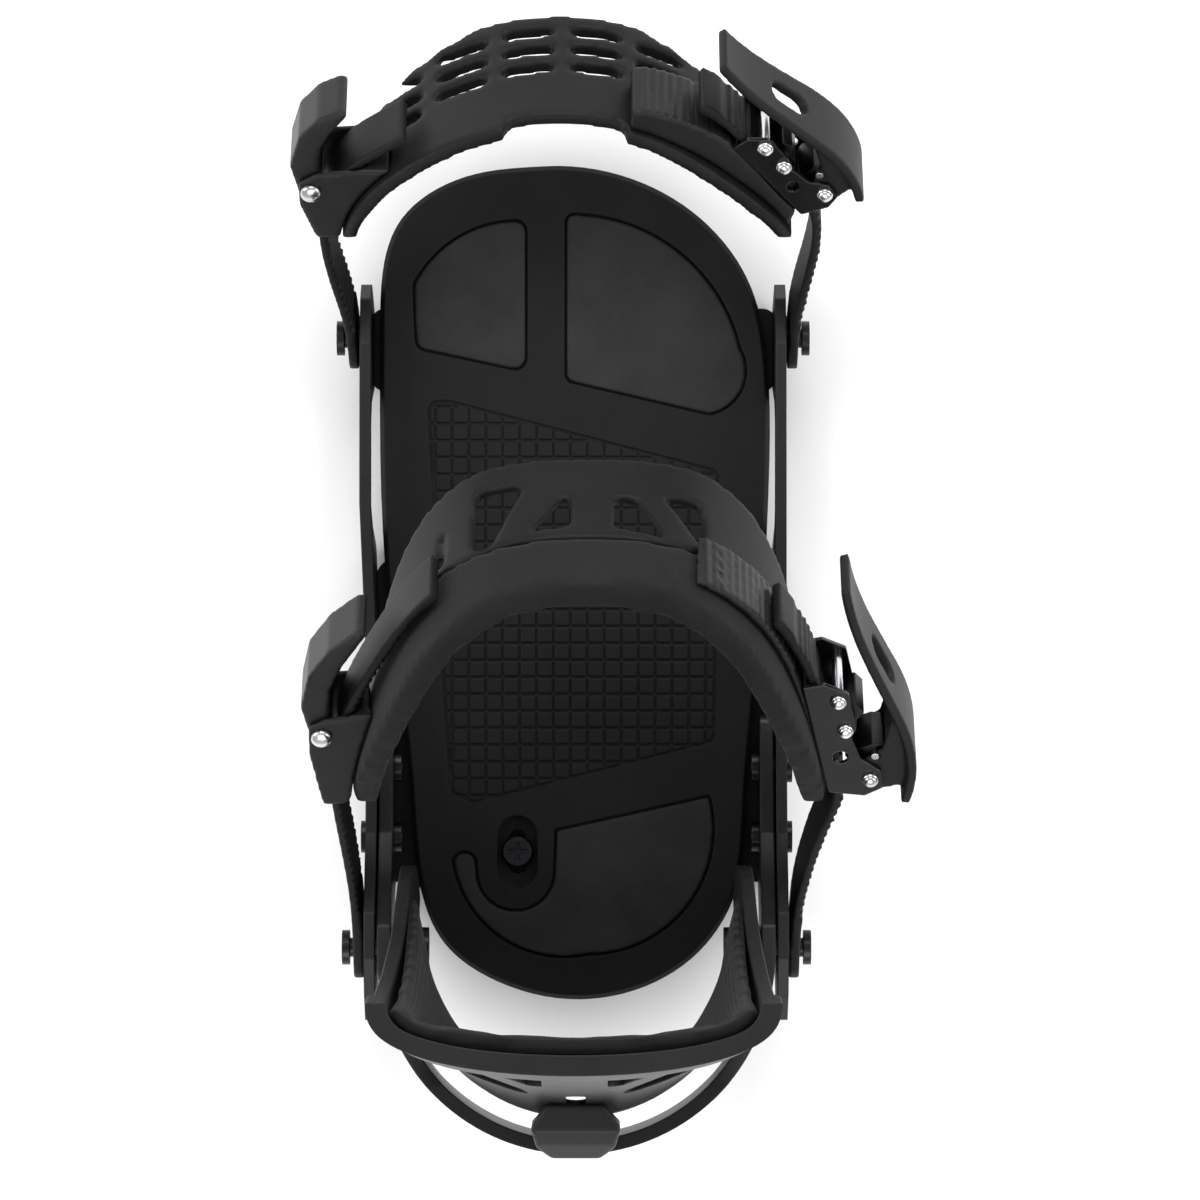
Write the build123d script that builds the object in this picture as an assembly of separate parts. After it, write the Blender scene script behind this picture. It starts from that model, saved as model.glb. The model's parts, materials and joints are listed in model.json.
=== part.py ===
from build123d import *
from math import cos, hypot, pi, radians, sin
import os

os.makedirs("parts", exist_ok=True)

# A right-foot snowboard binding, in millimetres. The origin is the centre of the
# mounting disc on the board's top surface, +Y points to the toes, +X to the buckle
# (outer) side and +Z up.

# ---- base, disc and footbed -------------------------------------------------------
GASKET_T = 3.0
FLOOR_TOP = 11.0
DISC_R = 47.6
DISC_FLANGE_R = 52.0
DISC_STEP_Z = 6.0
DISC_TOP = 10.8
TURN_GAP = 0.4
BOARD_SPACING = 40.0
BOARD_HOLE_R = 3.25
HEAD_SINK_R = 6.0
FOOTBED_TOP = 25.0
FOOTBED_SKIN = 19.4
PAD_FLOOR = 22.4
PAD_TOP = 24.7
PAD_GAP = 0.7
OUTER_PAD_CORNER = 3.0
GRID_PITCH = 5.3
GROOVE_W = 0.9
GROOVE_DEPTH = 0.6
GRID_CORNER = 3.5
GRID_COLUMNS = 17
GRID_ROWS = 24
SLOT_X = -18.6
SLOT_Y = -79.0
SLOT_TRAVEL = 4.0

# ---- side walls and heel hoop -----------------------------------------------------
WALL_IN = 61.9
WALL_T = 3.4
WALL_FLARE = 2.2
HOOP_CENTRE_Y = -107.7
HOOP_R = 61.2
HOOP_T = 4.2
PIVOT_Y = -106.5
PIVOT_Z = 57.0
PIVOT_R = 3.0
PIVOT_HEAD_R = 5.6
RUN_GAP = 0.06
HOOP_SCREW_Y = (-52.0, -74.0)
HOOP_SCREW_Z = 30.0
HOOP_SCREW_R = 2.5
NUT_R = 6.4
NUT_DEPTH = 1.8
NUT_T = 1.6

# ---- strap frames: local x is X, local y runs up the strap, local z across its width --
ANKLE_TILT = 39.6
TOE_TILT = 44.2
ANKLE_AXIS_Y = -108.0
ANKLE_AXIS_Z = 40.4
TOE_AXIS_Y = 82.0
TOE_AXIS_Z = 26.0
ANCHOR_R = 3.0
LADDER_W = 19.0
LADDER_T = 3.2
TOOTH_PITCH = 3.0
TOOTH_DEPTH = 1.1

# ---- ratchet buckle ---------------------------------------------------------------
FRAME_HALF_W = 10.0
PLATE_T = 1.3
PIN_R = 1.6
PIN_GAP = 0.08
LEVER_PIN = (3.3, 15.9)
LOCK_PIN = (-17.3, 12.0)
TAIL_PIN = (-28.9, 12.0)
PAWL_PIN = (-3.6, 18.6)


# ---- helpers ----------------------------------------------------------------------
def save(name, *pieces):
    """Write one node's solids to its own STEP file."""
    solids = [solid for piece in pieces for solid in piece.solids()]
    shape = solids[0] if len(solids) == 1 else Compound(solids)
    export_step(shape, f"parts/{name}.step")


def closed_spline(points):
    """Face inside a smooth closed curve."""
    return make_face(Spline(points, periodic=True))


def closed_polygon(points, radius=0.0):
    """Face inside a polygon, with its corners rounded."""
    face = make_face(Polyline(points, close=True))
    return fillet(face.vertices(), radius) if radius else face


def prism(face, low, high):
    """Extrude a face of the XY plane between two heights."""
    return Pos(0, 0, low) * extrude(face, high - low)


def side_prism(face, low=-150.0, high=150.0):
    """Extrude a side-view face (first axis Y, second Z) between two X values."""
    return Pos(low, 0, 0) * extrude(Plane.YZ * face, high - low)


def rod_x(y, z, radius, low, high):
    """Round bar along X."""
    return side_prism(Pos(y, z) * Circle(radius), low, high)


def rod_z(x, y, radius, low, high):
    """Round bar along Z."""
    return prism(Pos(x, y) * Circle(radius), low, high)


def local_point(tilt, y, z):
    """World Y and Z to a strap frame's y (up the strap) and z (across it)."""
    c, s = cos(radians(tilt)), sin(radians(tilt))
    return y * c + z * s, z * c - y * s


ANKLE_D0, ANKLE_W0 = local_point(ANKLE_TILT, ANKLE_AXIS_Y, ANKLE_AXIS_Z)
TOE_D0, TOE_W0 = local_point(TOE_TILT, TOE_AXIS_Y, TOE_AXIS_Z)


def curve_offset(path, t, distance):
    """Point beside a plane curve, to the left of its direction for a positive distance."""
    p = path @ t
    g = path % t
    return (p.X - g.Y * distance, p.Y + g.X * distance)


def strip_face(points, thickness):
    """Face of even thickness along a smooth path."""
    path = Spline(points)
    steps = [i / 12 for i in range(13)]
    left = [curve_offset(path, t, thickness / 2) for t in steps]
    right = [curve_offset(path, t, -thickness / 2) for t in steps]
    edges = [Spline(left), Line(left[-1], right[-1]), Spline(right), Line(right[0], left[0])]
    return make_face(edges)


def ladder_face(points, side, first, last):
    """Strip with saw teeth on one side between two fractions of its path."""
    path = Spline(points)
    half = LADDER_T / 2
    step = TOOTH_PITCH / path.length
    plain = [curve_offset(path, i / 12, -side * half) for i in range(13)]
    toothed = [curve_offset(path, first * i / 6, side * half) for i in range(6)]
    for i in range(int((last - first) / step)):
        t = first + i * step
        toothed.append(curve_offset(path, t, side * half))
        toothed.append(curve_offset(path, t + 0.2 * step, side * (half - TOOTH_DEPTH)))
    toothed += [curve_offset(path, last + (1 - last) * i / 6, side * half) for i in range(7)]
    edges = [Spline(plain), Line(plain[-1], toothed[-1]), Polyline(toothed), Line(toothed[0], plain[0])]
    return make_face(edges)


def ladder(points, side, first, last, d0, w0):
    """Toothed strap: a round eye at the anchor, a rounded tip, and teeth on one face."""
    blank = prism(ladder_face(points, side, first, last), w0 - LADDER_W / 2, w0 + LADDER_W / 2)
    top = max(p[1] for p in points) + 4
    outline = make_face(
        [
            ThreePointArc((d0, w0 + LADDER_W / 2), (d0 - LADDER_W / 2, w0), (d0, w0 - LADDER_W / 2)),
            Line((d0, w0 - LADDER_W / 2), (top, w0 - LADDER_W / 2)),
            Line((top, w0 - LADDER_W / 2), (top, w0 + LADDER_W / 2)),
            Line((top, w0 + LADDER_W / 2), (d0, w0 + LADDER_W / 2)),
        ]
    )
    return (blank & side_prism(outline)) - rod_x(d0, w0, ANCHOR_R + RUN_GAP, -150, 150)


def ankle(shape):
    """From the ankle strap's frame to the world."""
    return Rot(ANKLE_TILT, 0, 0) * shape


def toe(shape):
    """From the toe strap's frame to the world."""
    return Rot(TOE_TILT, 0, 0) * shape


# ---- mounting disc, gasket and base -----------------------------------------------
def mounting_disc():
    body = rod_z(0, 0, DISC_R, 0, DISC_STEP_Z) + rod_z(0, 0, DISC_FLANGE_R, DISC_STEP_Z, DISC_TOP)
    half = BOARD_SPACING / 2
    for x in (-half, half):
        for y in (-half, half):
            body -= rod_z(x, y, BOARD_HOLE_R, -1, DISC_TOP + 1)
            body -= rod_z(x, y, HEAD_SINK_R, DISC_STEP_Z, DISC_TOP + 1)
    body -= rod_z(0, 0, 9.0, 5.0, DISC_TOP + 1)
    return body


def footbed_outline():
    """Plan of the footbed, from the toe end round by the outer side."""
    return closed_spline(
        [
            (-9.8, 136.1), (14, 133.2), (38.5, 120), (54, 99.7), (60, 72), (60.2, 35), (57, -20),
            (53.4, -62), (49, -94), (37, -111.6), (3.6, -125.2), (-25, -119.6), (-42, -107),
            (-49.5, -88), (-52.6, -56), (-58.2, -10), (-61.4, 35), (-61.7, 85), (-55, 119.5),
            (-33.5, 133.2),
        ]
    )


def floor_face():
    """Plan of the base's floor: narrower than the footbed, with two pairs of webs to the walls."""
    core = Pos(0, -8) * RectangleRounded(107, 196, 30)
    rear_web = Pos(0, -38) * RectangleRounded(2 * (WALL_IN + 1.5), 102, 6)
    front_web = Pos(-1, 79) * RectangleRounded(2 * (WALL_IN + 2.5), 26, 5)
    return core + rear_web + front_web


def base_gasket():
    hole = rod_z(0, 0, DISC_R + TURN_GAP, -1, GASKET_T + 1)
    trim = scale(floor_face(), (0.96, 0.98, 1))
    return prism(trim, 0, GASKET_T - 0.02) - hole


def wall_outline():
    """Side view of a side wall: anchor plate in front, arched rail, tall rear plate."""
    lower = [(92, 3), (67, 3), (62, 27), (56, 33), (29, 33), (23, 27), (17, 3), (-88, 3), (-113, 27)]
    rear = [(-128, 38), (-130, 52), (-122, 62)]
    upper = [(-110, 68), (-96, 66), (-72, 51), (-35, 44), (40, 42.5), (80, 41), (94, 35), (99, 26)]
    return closed_polygon(lower + rear + upper, 2.0)


def wall_plan(side):
    """Plan of one wall; the big-toe side flares out towards the toes."""
    flare = WALL_FLARE if side < 0 else 0.0
    inner = [(WALL_IN, -134), (WALL_IN, -20), (WALL_IN + flare, 30), (WALL_IN + flare, 102)]
    outer = [(x + WALL_T, y) for x, y in reversed(inner)]
    return closed_polygon([(side * x, y) for x, y in inner + outer])


def base_plate():
    floor = prism(floor_face(), GASKET_T, FLOOR_TOP)
    walls = [prism(wall_plan(side), 0, 80) & side_prism(wall_outline()) for side in (-1, 1)]
    body = floor + walls[0] + walls[1]
    body -= rod_z(0, 0, DISC_R + TURN_GAP, -1, FLOOR_TOP + 1)
    body -= rod_z(0, 0, DISC_FLANGE_R + TURN_GAP, DISC_STEP_Z - 0.2, FLOOR_TOP + 1)
    body -= rod_x(PIVOT_Y, PIVOT_Z, PIVOT_R + RUN_GAP, -80, 80)
    body -= rod_x(ANKLE_AXIS_Y, ANKLE_AXIS_Z, ANCHOR_R + RUN_GAP, -80, 80)
    body -= rod_x(TOE_AXIS_Y, TOE_AXIS_Z, ANCHOR_R + RUN_GAP, -80, 80)
    pocket_right = WALL_IN + NUT_DEPTH
    pocket_left = WALL_IN + WALL_FLARE + NUT_DEPTH
    body -= rod_x(TOE_AXIS_Y, TOE_AXIS_Z, NUT_R + 0.1, -pocket_left, pocket_right)
    for y in HOOP_SCREW_Y:
        body -= rod_x(y, HOOP_SCREW_Z, HOOP_SCREW_R + RUN_GAP, -80, 80)
    body -= rod_z(SLOT_X, SLOT_Y, 2.5 + RUN_GAP, 0, 20)
    return body


def hoop_outline():
    """Side view of the heel hoop: flat arms rising to the heel."""
    lower = [(-36, 16), (-88, 16), (-116, 38), (-146, 55), (-172, 57)]
    upper = [(-172, 82), (-148, 80), (-122, 70), (-100, 66), (-72, 48), (-36, 40)]
    return closed_polygon(lower + upper, 3.0)


def heel_hoop():
    def u_face(radius):
        arc = ThreePointArc(
            (-radius, HOOP_CENTRE_Y), (0, HOOP_CENTRE_Y - radius), (radius, HOOP_CENTRE_Y)
        )
        return make_face(
            [arc, Line((radius, HOOP_CENTRE_Y), (radius, -20)), Line((radius, -20), (-radius, -20)),
             Line((-radius, -20), (-radius, HOOP_CENTRE_Y))]
        )

    ring = prism(u_face(HOOP_R), 0, 100) - prism(u_face(HOOP_R - HOOP_T), -1, 101)
    body = ring & side_prism(hoop_outline())
    body -= rod_x(PIVOT_Y, PIVOT_Z, PIVOT_R + RUN_GAP, -80, 80)
    body -= rod_x(ANKLE_AXIS_Y, ANKLE_AXIS_Z, ANCHOR_R + RUN_GAP, -80, 80)
    for y in HOOP_SCREW_Y:
        body -= rod_x(y, HOOP_SCREW_Z, HOOP_SCREW_R + RUN_GAP, -80, 80)
    return body


def hoop_screws():
    """Four screws that clamp the hoop's arms to the walls, heads inside."""
    inner = HOOP_R - HOOP_T
    screws = []
    for side in (-1, 1):
        for y in HOOP_SCREW_Y:
            ends = sorted((side * (inner - 0.02), side * (WALL_IN + WALL_T + 0.5)))
            shaft = rod_x(y, HOOP_SCREW_Z, HOOP_SCREW_R, ends[0], ends[1])
            head_ends = sorted((side * (inner - 2.4), side * (inner - 0.02)))
            head = rod_x(y, HOOP_SCREW_Z, 4.6, head_ends[0], head_ends[1])
            socket_ends = sorted((side * (inner - 3.0), side * (inner - 1.2)))
            head -= side_prism(
                Pos(y, HOOP_SCREW_Z) * RegularPolygon(2.0, 6), socket_ends[0], socket_ends[1]
            )
            screws.append(shaft + head)
    return screws


def hoop_nuts():
    """Flat round nuts outside the walls."""
    nuts = []
    for side in (-1, 1):
        for y in HOOP_SCREW_Y:
            outer = WALL_IN + WALL_T + 0.02
            ends = sorted((side * outer, side * (outer + 2.0)))
            nut = rod_x(y, HOOP_SCREW_Z, 5.0, ends[0], ends[1])
            nuts.append(nut - rod_x(y, HOOP_SCREW_Z, HOOP_SCREW_R + RUN_GAP, ends[0] - 1, ends[1] + 1))
    return nuts


# ---- footbed and its pads ---------------------------------------------------------
def toe_pad_inner_face():
    edges = [
        Line((-15.4, 71), (-15.4, 119.4)),
        ThreePointArc((-15.4, 119.4), (-38.5, 113.5), (-51.6, 99)),
        Line((-51.6, 99), (-50.8, 78.6)),
        Line((-50.8, 78.6), (-15.4, 71)),
    ]
    face = make_face(edges)
    return fillet(face.vertices(), 4.0)


def rounded(face, radius):
    return fillet(face.vertices(), radius)


def toe_pad_outer_face():
    """Outline of the outer toe cushion, with its corners still sharp."""
    edges = [
        Line((-3.8, 68.4), (-3.8, 121.4)),
        ThreePointArc((-3.8, 121.4), (33.5, 108.5), (51.6, 79)),
        ThreePointArc((51.6, 79), (50.4, 63), (41.5, 57.8)),
        Line((41.5, 57.8), (-3.8, 68.4)),
    ]
    return make_face(edges)


def heel_pad_face():
    """Heel cushion with a hook that curls round the screw slot."""
    edges = [
        Line((41.8, -61), (-7.0, -71.8)),
        Line((-7.0, -71.8), (-7.4, -85.0)),
        ThreePointArc((-7.4, -85.0), (-19.2, -96.9), (-31.0, -85.0)),
        Line((-31.0, -85.0), (-31.2, -82.0)),
        ThreePointArc((-31.2, -82.0), (-35.2, -78.6), (-39.2, -82.0)),
        ThreePointArc((-39.2, -82.0), (-27.5, -103.5), (3.5, -111.6)),
        ThreePointArc((3.5, -111.6), (34.0, -97.5), (41.8, -61)),
    ]
    return make_face(edges)


def grid_face():
    """The gripping area, cut into squares by narrow grooves inside a bordering groove."""
    corners = [(-47.0, 62.8), (-39.0, 62.4), (44.6, 40.6), (43.4, -44.6), (-33.0, -64.0), (-40.0, -60.0)]
    area = closed_polygon(corners, GRID_CORNER)
    low_x = -47.0 + GRID_PITCH / 2
    low_y = -64.0 + GRID_PITCH / 2
    grooves = area - offset(area, amount=-GROOVE_W)
    for i in range(GRID_COLUMNS):
        grooves += area & (Pos(low_x + i * GRID_PITCH, 0) * Rectangle(GROOVE_W, 140))
    for i in range(GRID_ROWS):
        grooves += area & (Pos(0, low_y + i * GRID_PITCH) * Rectangle(110, GROOVE_W))
    return grooves


def footbed():
    outline = footbed_outline()
    rear = prism(outline, FLOOR_TOP + 0.2, FOOTBED_TOP)
    rear = chamfer(rear.faces().sort_by(Axis.Z)[-1].edges(), 1.4)
    toe_block = prism(outline, 3.2, FLOOR_TOP + 0.2) & (Pos(0, 148, 5) * Box(160, 100, 40))
    body = rear + toe_block
    inner = scale(outline, (0.93, 0.96, 1))
    body -= prism(inner, 0, FOOTBED_SKIN)
    outer_pocket = rounded(toe_pad_outer_face(), OUTER_PAD_CORNER)
    for face in (toe_pad_inner_face(), outer_pocket, heel_pad_face()):
        body -= prism(face, PAD_FLOOR, FOOTBED_TOP + 1)
    body -= prism(grid_face(), FOOTBED_TOP - GROOVE_DEPTH, FOOTBED_TOP + 1)
    boss = prism(Pos(SLOT_X, SLOT_Y) * SlotCenterToCenter(10.5, 17, rotation=90), FLOOR_TOP + 0.2, FOOTBED_SKIN + 0.5)
    body += boss
    recess = Pos(SLOT_X, SLOT_Y) * SlotCenterToCenter(10.2, 12.6, rotation=90)
    body -= prism(recess, 20.2, FOOTBED_TOP + 1)
    slot = Pos(SLOT_X, SLOT_Y) * SlotCenterToCenter(2 * SLOT_TRAVEL + 0.4, 5.3, rotation=90)
    body -= prism(slot, 0, FOOTBED_TOP + 1)
    return body


def inset_face(face):
    """Outline a little inside a cushion's pocket."""
    return offset(face, amount=-PAD_GAP, kind=Kind.INTERSECTION)


def footbed_pad(face):
    return prism(face, PAD_FLOOR + 0.02, PAD_TOP)


def footbed_screw():
    shaft = rod_z(SLOT_X, SLOT_Y, 2.5, 3.4, 20.3)
    head = rod_z(SLOT_X, SLOT_Y, 5.0, 20.3, 23.6)
    head = chamfer(head.faces().sort_by(Axis.Z)[-1].edges(), 0.6)
    cross = Pos(SLOT_X, SLOT_Y) * (Rectangle(6.0, 1.3) + Rectangle(1.3, 6.0))
    return shaft + head - prism(cross, 21.9, 25)


# ---- highback ----------------------------------------------------------------------
# Side profile from the heel to the top edge: Y of the front edge, Y of the back, z.
HIGHBACK_PROFILE = [
    (-93, -156.5, 34), (-82, -159.0, 57), (-84, -157.5, 80), (-94, -151.6, 106), (-104, -144.6, 150),
    (-109.5, -137.4, 205), (-111.5, -130.2, 257),
]
HALF_LOW = 53.0
HALF_HIGH = 56.2
PROFILE_STEPS = 22
SHELL_T = 4.2
PAD_T = 4.6
LAYER_GAP = 0.2
SQUARENESS = 0.75
PAD_FROM = 6
RIM_FROM = 20
RIM_LIP = 1.6
RIM_T = 3.4


def highback_row(step, lip=0.0):
    """Half width, front, back and height of a section, grown outwards by the lip."""
    t = step / PROFILE_STEPS
    p = Spline(HIGHBACK_PROFILE) @ t
    return (HALF_LOW + (HALF_HIGH - HALF_LOW) * sin(t * pi / 2) + lip, p.X, p.Y - lip, p.Z)


def highback_curve(row, inset):
    """Points of a section at a distance inside the row's surface, left edge to right edge."""
    half, front, back, z = row
    angles = [radians(-90 + i * 18) for i in range(11)]
    depth = front - back - inset
    return [((half - inset) * sin(t), front - depth * abs(cos(t)) ** SQUARENESS) for t in angles]


def highback_layer(rows, outer_inset, inner_inset):
    """Shell between two insets of the rows' surface."""
    sections = []
    for row in rows:
        outer = highback_curve(row, outer_inset)
        inner = highback_curve(row, inner_inset)
        wire = [Spline(outer), Line(outer[-1], inner[-1]), Spline(inner), Line(inner[0], outer[0])]
        sections.append(Pos(0, 0, row[3]) * make_face(wire))
    return loft(sections, ruled=True)


def highback_rim():
    """Thickened lip round the top edge, standing proud of the shell's back."""
    rows = [highback_row(RIM_FROM - 0.4)]
    rows += [highback_row(step, RIM_LIP) for step in (RIM_FROM, RIM_FROM + 1, PROFILE_STEPS)]
    return highback_layer(rows, 0.0, RIM_T)


def back_prism(points, radius, low=-200.0, high=-90.0):
    """Prism along Y with its outline in X and Z."""
    face = closed_polygon(points, radius)
    return Pos(0, high, 0) * extrude(Plane.XZ * face, high - low)


def truss_windows():
    """Windows between the spine, the V ribs and the side frames, on both halves."""
    cuts = []
    for side in (-1, 1):
        upper = [(9.5, 152), (9.5, 236), (27.5, 236)]
        lower = [(13, 117), (15.5, 140), (34.5, 236), (46, 228), (44, 190), (31, 140)]
        for points in (upper, lower):
            outline = [(side * x, z) for x, z in points]
            cuts.append(back_prism(outline, 2.5))
    return cuts


def highback_shell():
    rows = [highback_row(step) for step in range(PROFILE_STEPS + 1)]
    body = highback_layer(rows, 0.0, SHELL_T)
    for cut in truss_windows():
        body -= cut
    body -= back_prism([(-3, 88), (3, 88), (3, 128), (-3, 128)], 2.9)
    body -= rod_x(PIVOT_Y, PIVOT_Z, PIVOT_R + RUN_GAP, -80, 80)
    body -= rod_x(PIVOT_Y, PIVOT_Z, PIVOT_HEAD_R + 0.3, -48.1, 48.1)
    heel_arch = [(-40, 20), (40, 20), (36, 52), (24, 62), (-24, 62), (-36, 52)]
    body -= back_prism(heel_arch, 5.0, -200, -126)
    return body + highback_rim()


def highback_pad():
    rows = [highback_row(step) for step in range(PAD_FROM, PROFILE_STEPS + 1)]
    start = SHELL_T + LAYER_GAP
    return highback_layer(rows, start, start + PAD_T)


def pivot_hardware():
    """Screws the highback turns on, and the washers between wings and hoop."""
    screws = []
    washers = []
    for side in (-1, 1):
        ends = sorted((side * 48.0, side * (WALL_IN + WALL_T + 0.3)))
        screw = rod_x(PIVOT_Y, PIVOT_Z, PIVOT_R, ends[0], ends[1])
        head = sorted((side * 45.4, side * 48.0))
        screw += rod_x(PIVOT_Y, PIVOT_Z, PIVOT_HEAD_R, head[0], head[1])
        screws.append(screw)
        washer_ends = sorted((side * 54.3, side * (HOOP_R - HOOP_T - 0.4)))
        washer = rod_x(PIVOT_Y, PIVOT_Z, 6.0, washer_ends[0], washer_ends[1])
        washers.append(washer - rod_x(PIVOT_Y, PIVOT_Z, PIVOT_R + RUN_GAP, washer_ends[0] - 1, washer_ends[1] + 1))
    return screws, washers


def lean_adjuster_block():
    plan = closed_polygon(
        [(-8.3, -146), (8.3, -146), (8.3, -151), (13.6, -158.6), (12.0, -165), (7.4, -168.8), (-7.4, -168.8),
         (-12.0, -165), (-13.6, -158.6), (-8.3, -151)]
    )
    body = prism(plan, 82.6, 108)
    body -= side_prism(closed_polygon([(-158.8, 80), (-151.6, 106), (-150.8, 110), (-100, 110), (-100, 80)]), -30, 30)
    slope = closed_polygon([(-172, 92), (-172, 112), (-156, 112), (-164, 104)])
    body -= side_prism(slope, -30, 30)
    body -= Pos(0, -168, 88) * Box(5, 6, 12)
    return body


# ---- straps ------------------------------------------------------------------------
ANKLE_X0 = 4.0
ANKLE_FRONT = ((70, -14), (69.5, 30), (64, 60), (53, 82), (33, 98), (0, 102.5))
ANKLE_REAR = ((70, -14), (66, 32), (60.5, 49), (54, 67), (43.5, 84), (31, 94.5), (0, 101.5))
ANKLE_SHELL_T = 3.4
ANKLE_PAD_OUT = 1.6
ANKLE_PAD_IN = 7.4
SEAM_W = 94.0
TOE_CURVE = (
    (-72.5, 115), (-71.5, 130), (-66, 143.5), (-54, 156.5), (-41, 165), (-22, 172.5), (-3, 174.6),
    (15, 171.5), (35, 161.5), (50, 149.5), (60, 139), (66.5, 128), (69, 115),
)
TOE_SHELL_T = 4.6
# Columns of slots: middle X, length along X, shift in w that keeps them clear of the curved edge.
SLOT_COLUMNS = ((-52.5, 11.5, 6.0), (-34.5, 15.5, 1.6), (-14.5, 15.5, 0.0), (6.0, 15.5, 0.0), (25.0, 14.0, 2.2))
SLOT_ROW_W = -70.5
SLOT_ROW_PITCH = 8.6
SLOT_HEIGHT = 4.0


def inward(point, distance):
    """Move a strap profile point towards the foot."""
    x, d = point
    target = min(d, 45.0)
    length = hypot(x, d - target)
    if length == 0:
        return (x, d - distance)
    return (x - distance * x / length, d - distance * (d - target) / length)


def ankle_section(half_points, depth, w):
    """Closed section of the foot side of the ankle strap at one width position."""
    right = [inward(p, depth) for p in half_points]
    left = [(-x, d) for x, d in reversed(right[:-1])]
    points = [(x + ANKLE_X0, d) for x, d in right + left]
    face = make_face([Spline(points), Line(points[-1], points[0])])
    return Pos(0, 0, w) * face


def ankle_solid(depth):
    """Everything inside the strap's outer surface, to a depth."""
    front = ankle_section(ANKLE_FRONT, depth, 48.0)
    rear = ankle_section(ANKLE_REAR, depth, 130.0)
    return loft([front, rear], ruled=True)


def ankle_outline():
    """Side view of the ankle strap: wide over the instep, narrow at the ends."""
    front = [(112, 56.5), (96, 56.8), (86, 60.5), (62, 73), (30, 84.5), (8, 90)]
    rear = [(5, 100), (10, 109.5), (28, 116.5), (48, 121.5), (68, 124), (86, 122.5), (97, 118.6), (112, 117.5)]
    return closed_polygon(front + rear, 3.0)


def ankle_windows():
    """Truss windows in the front half of the shell, cut along the strap's middle normal."""
    shapes = (
        [(-29.5, 66.5), (-15.5, 68), (-25, 92), (-30, 92)],
        [(-1.5, 71.5), (-13.5, 89.5), (-1.5, 88.0)],
        [(11.5, 74.5), (18.5, 75.5), (27, 91), (11.5, 88.5)],
        [(26, 72), (37, 72), (38.5, 91.5)],
        [(-41, 77), (-38.6, 77), (-39.6, 90), (-42, 90)],
    )
    cuts = []
    for points in shapes:
        cuts.append(Pos(0, 60, 0) * Rot(-90, 0, 0) * extrude(closed_polygon([(x, -w) for x, w in points]), 60))
    return cuts


def ankle_strap_shell():
    band = (ankle_solid(0) - ankle_solid(ANKLE_SHELL_T)) & side_prism(ankle_outline())
    body = band & (Pos(0, 50, SEAM_W - 60) * Box(200, 200, 120))
    for cut in ankle_windows():
        body -= cut
    return body


def ankle_strap_pad():
    band = (ankle_solid(-ANKLE_PAD_OUT) - ankle_solid(ANKLE_PAD_IN)) & side_prism(ankle_outline())
    return band & (Pos(0, 50, SEAM_W + 0.1 + 60) * Box(200, 200, 120))


def toe_solid(depth):
    points = TOE_CURVE
    path = Spline(points)
    if depth:
        points = [curve_offset(path, i / 16, -depth) for i in range(17)]
        path = Spline(points)
    face = make_face([path, Line(points[-1], points[0])])
    return prism(face, -90, -15)


def toe_outline():
    front = [(184, -79), (170, -78), (161, -72), (153.5, -66), (146, -58.5), (132, -50)]
    rear = [(127, -42), (127.5, -27), (140, -24.2), (155, -24.2), (165, -25.4), (184, -26)]
    return closed_polygon(front + rear, 3.0)


def toe_windows():
    """Three rows of slots across the strap, and a shallower middle at the rear edge."""
    cuts = []
    for row in range(3):
        for x, length, shift in SLOT_COLUMNS:
            w = SLOT_ROW_W + SLOT_ROW_PITCH * row + shift
            cuts.append(Pos(x, 120, w) * Box(length, 140, SLOT_HEIGHT))
    notch = closed_polygon([(-24, 20), (17, 20), (14, 30.5), (-20, 30.5)])
    cuts.append(Pos(0, 100, 0) * Rot(-90, 0, 0) * extrude(notch, 120))
    return cuts


def toe_strap_cap():
    body = (toe_solid(0) - toe_solid(TOE_SHELL_T)) & side_prism(toe_outline())
    for cut in toe_windows():
        body -= cut
    return body


# ---- ratchet buckle, drawn along u (towards the ladder's entry), q (outwards) and w --------
def scaled(points, size):
    return [(x * size, y * size) for x, y in points]


def slab(points, size, low, high, radius=0.0):
    return prism(closed_polygon(scaled(points, size), radius), low, high)


def pin_hole(pin, size, radius):
    return prism(Pos(pin[0] * size, pin[1] * size) * Circle(radius), -30, 30)


def buckle_frame(size):
    side = [(-36, FLOOR_Q), (6, FLOOR_Q), (9.5, 13), (7.5, 19.0), (1.0, 19.6), (-5, 14.5), (-14, 13.2), (-18, 15.4),
            (-31, 15.4), (-36, 9)]
    inner, outer = FRAME_HALF_W, FRAME_HALF_W + PLATE_T
    body = slab(side, size, inner, outer, 1.0) + slab(side, size, -outer, -inner, 1.0)
    floor_high = FLOOR_Q + FLOOR_T / size
    body += slab([(-36, FLOOR_Q), (4, FLOOR_Q), (4, floor_high), (-36, floor_high)], size, -outer, outer)
    for pin in (LEVER_PIN, LOCK_PIN, TAIL_PIN):
        body -= pin_hole(pin, size, PIN_R + 0.02)
    for w in (-25.0, 25.0):
        body -= prism(Pos(-7 * size, 8.6 * size) * Circle(2.4 * size), *sorted((0, w)))
    return body


def buckle_pins(size):
    outer = FRAME_HALF_W + PLATE_T
    pins = []
    for pin in (LEVER_PIN, LOCK_PIN, TAIL_PIN):
        x, y = pin[0] * size, pin[1] * size
        shaft = prism(Pos(x, y) * Circle(PIN_R), -outer - 0.02, outer + 0.02)
        for side in (-1, 1):
            ends = sorted((side * (outer + 0.02), side * (outer + 1.3)))
            head = prism(Pos(x, y) * Circle(2.5), ends[0], ends[1])
            rim = head.faces().sort_by(Axis.Z)[-1 if side > 0 else 0]
            shaft += fillet(rim.edges(), 0.7)
        pins.append(shaft)
    return pins


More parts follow.
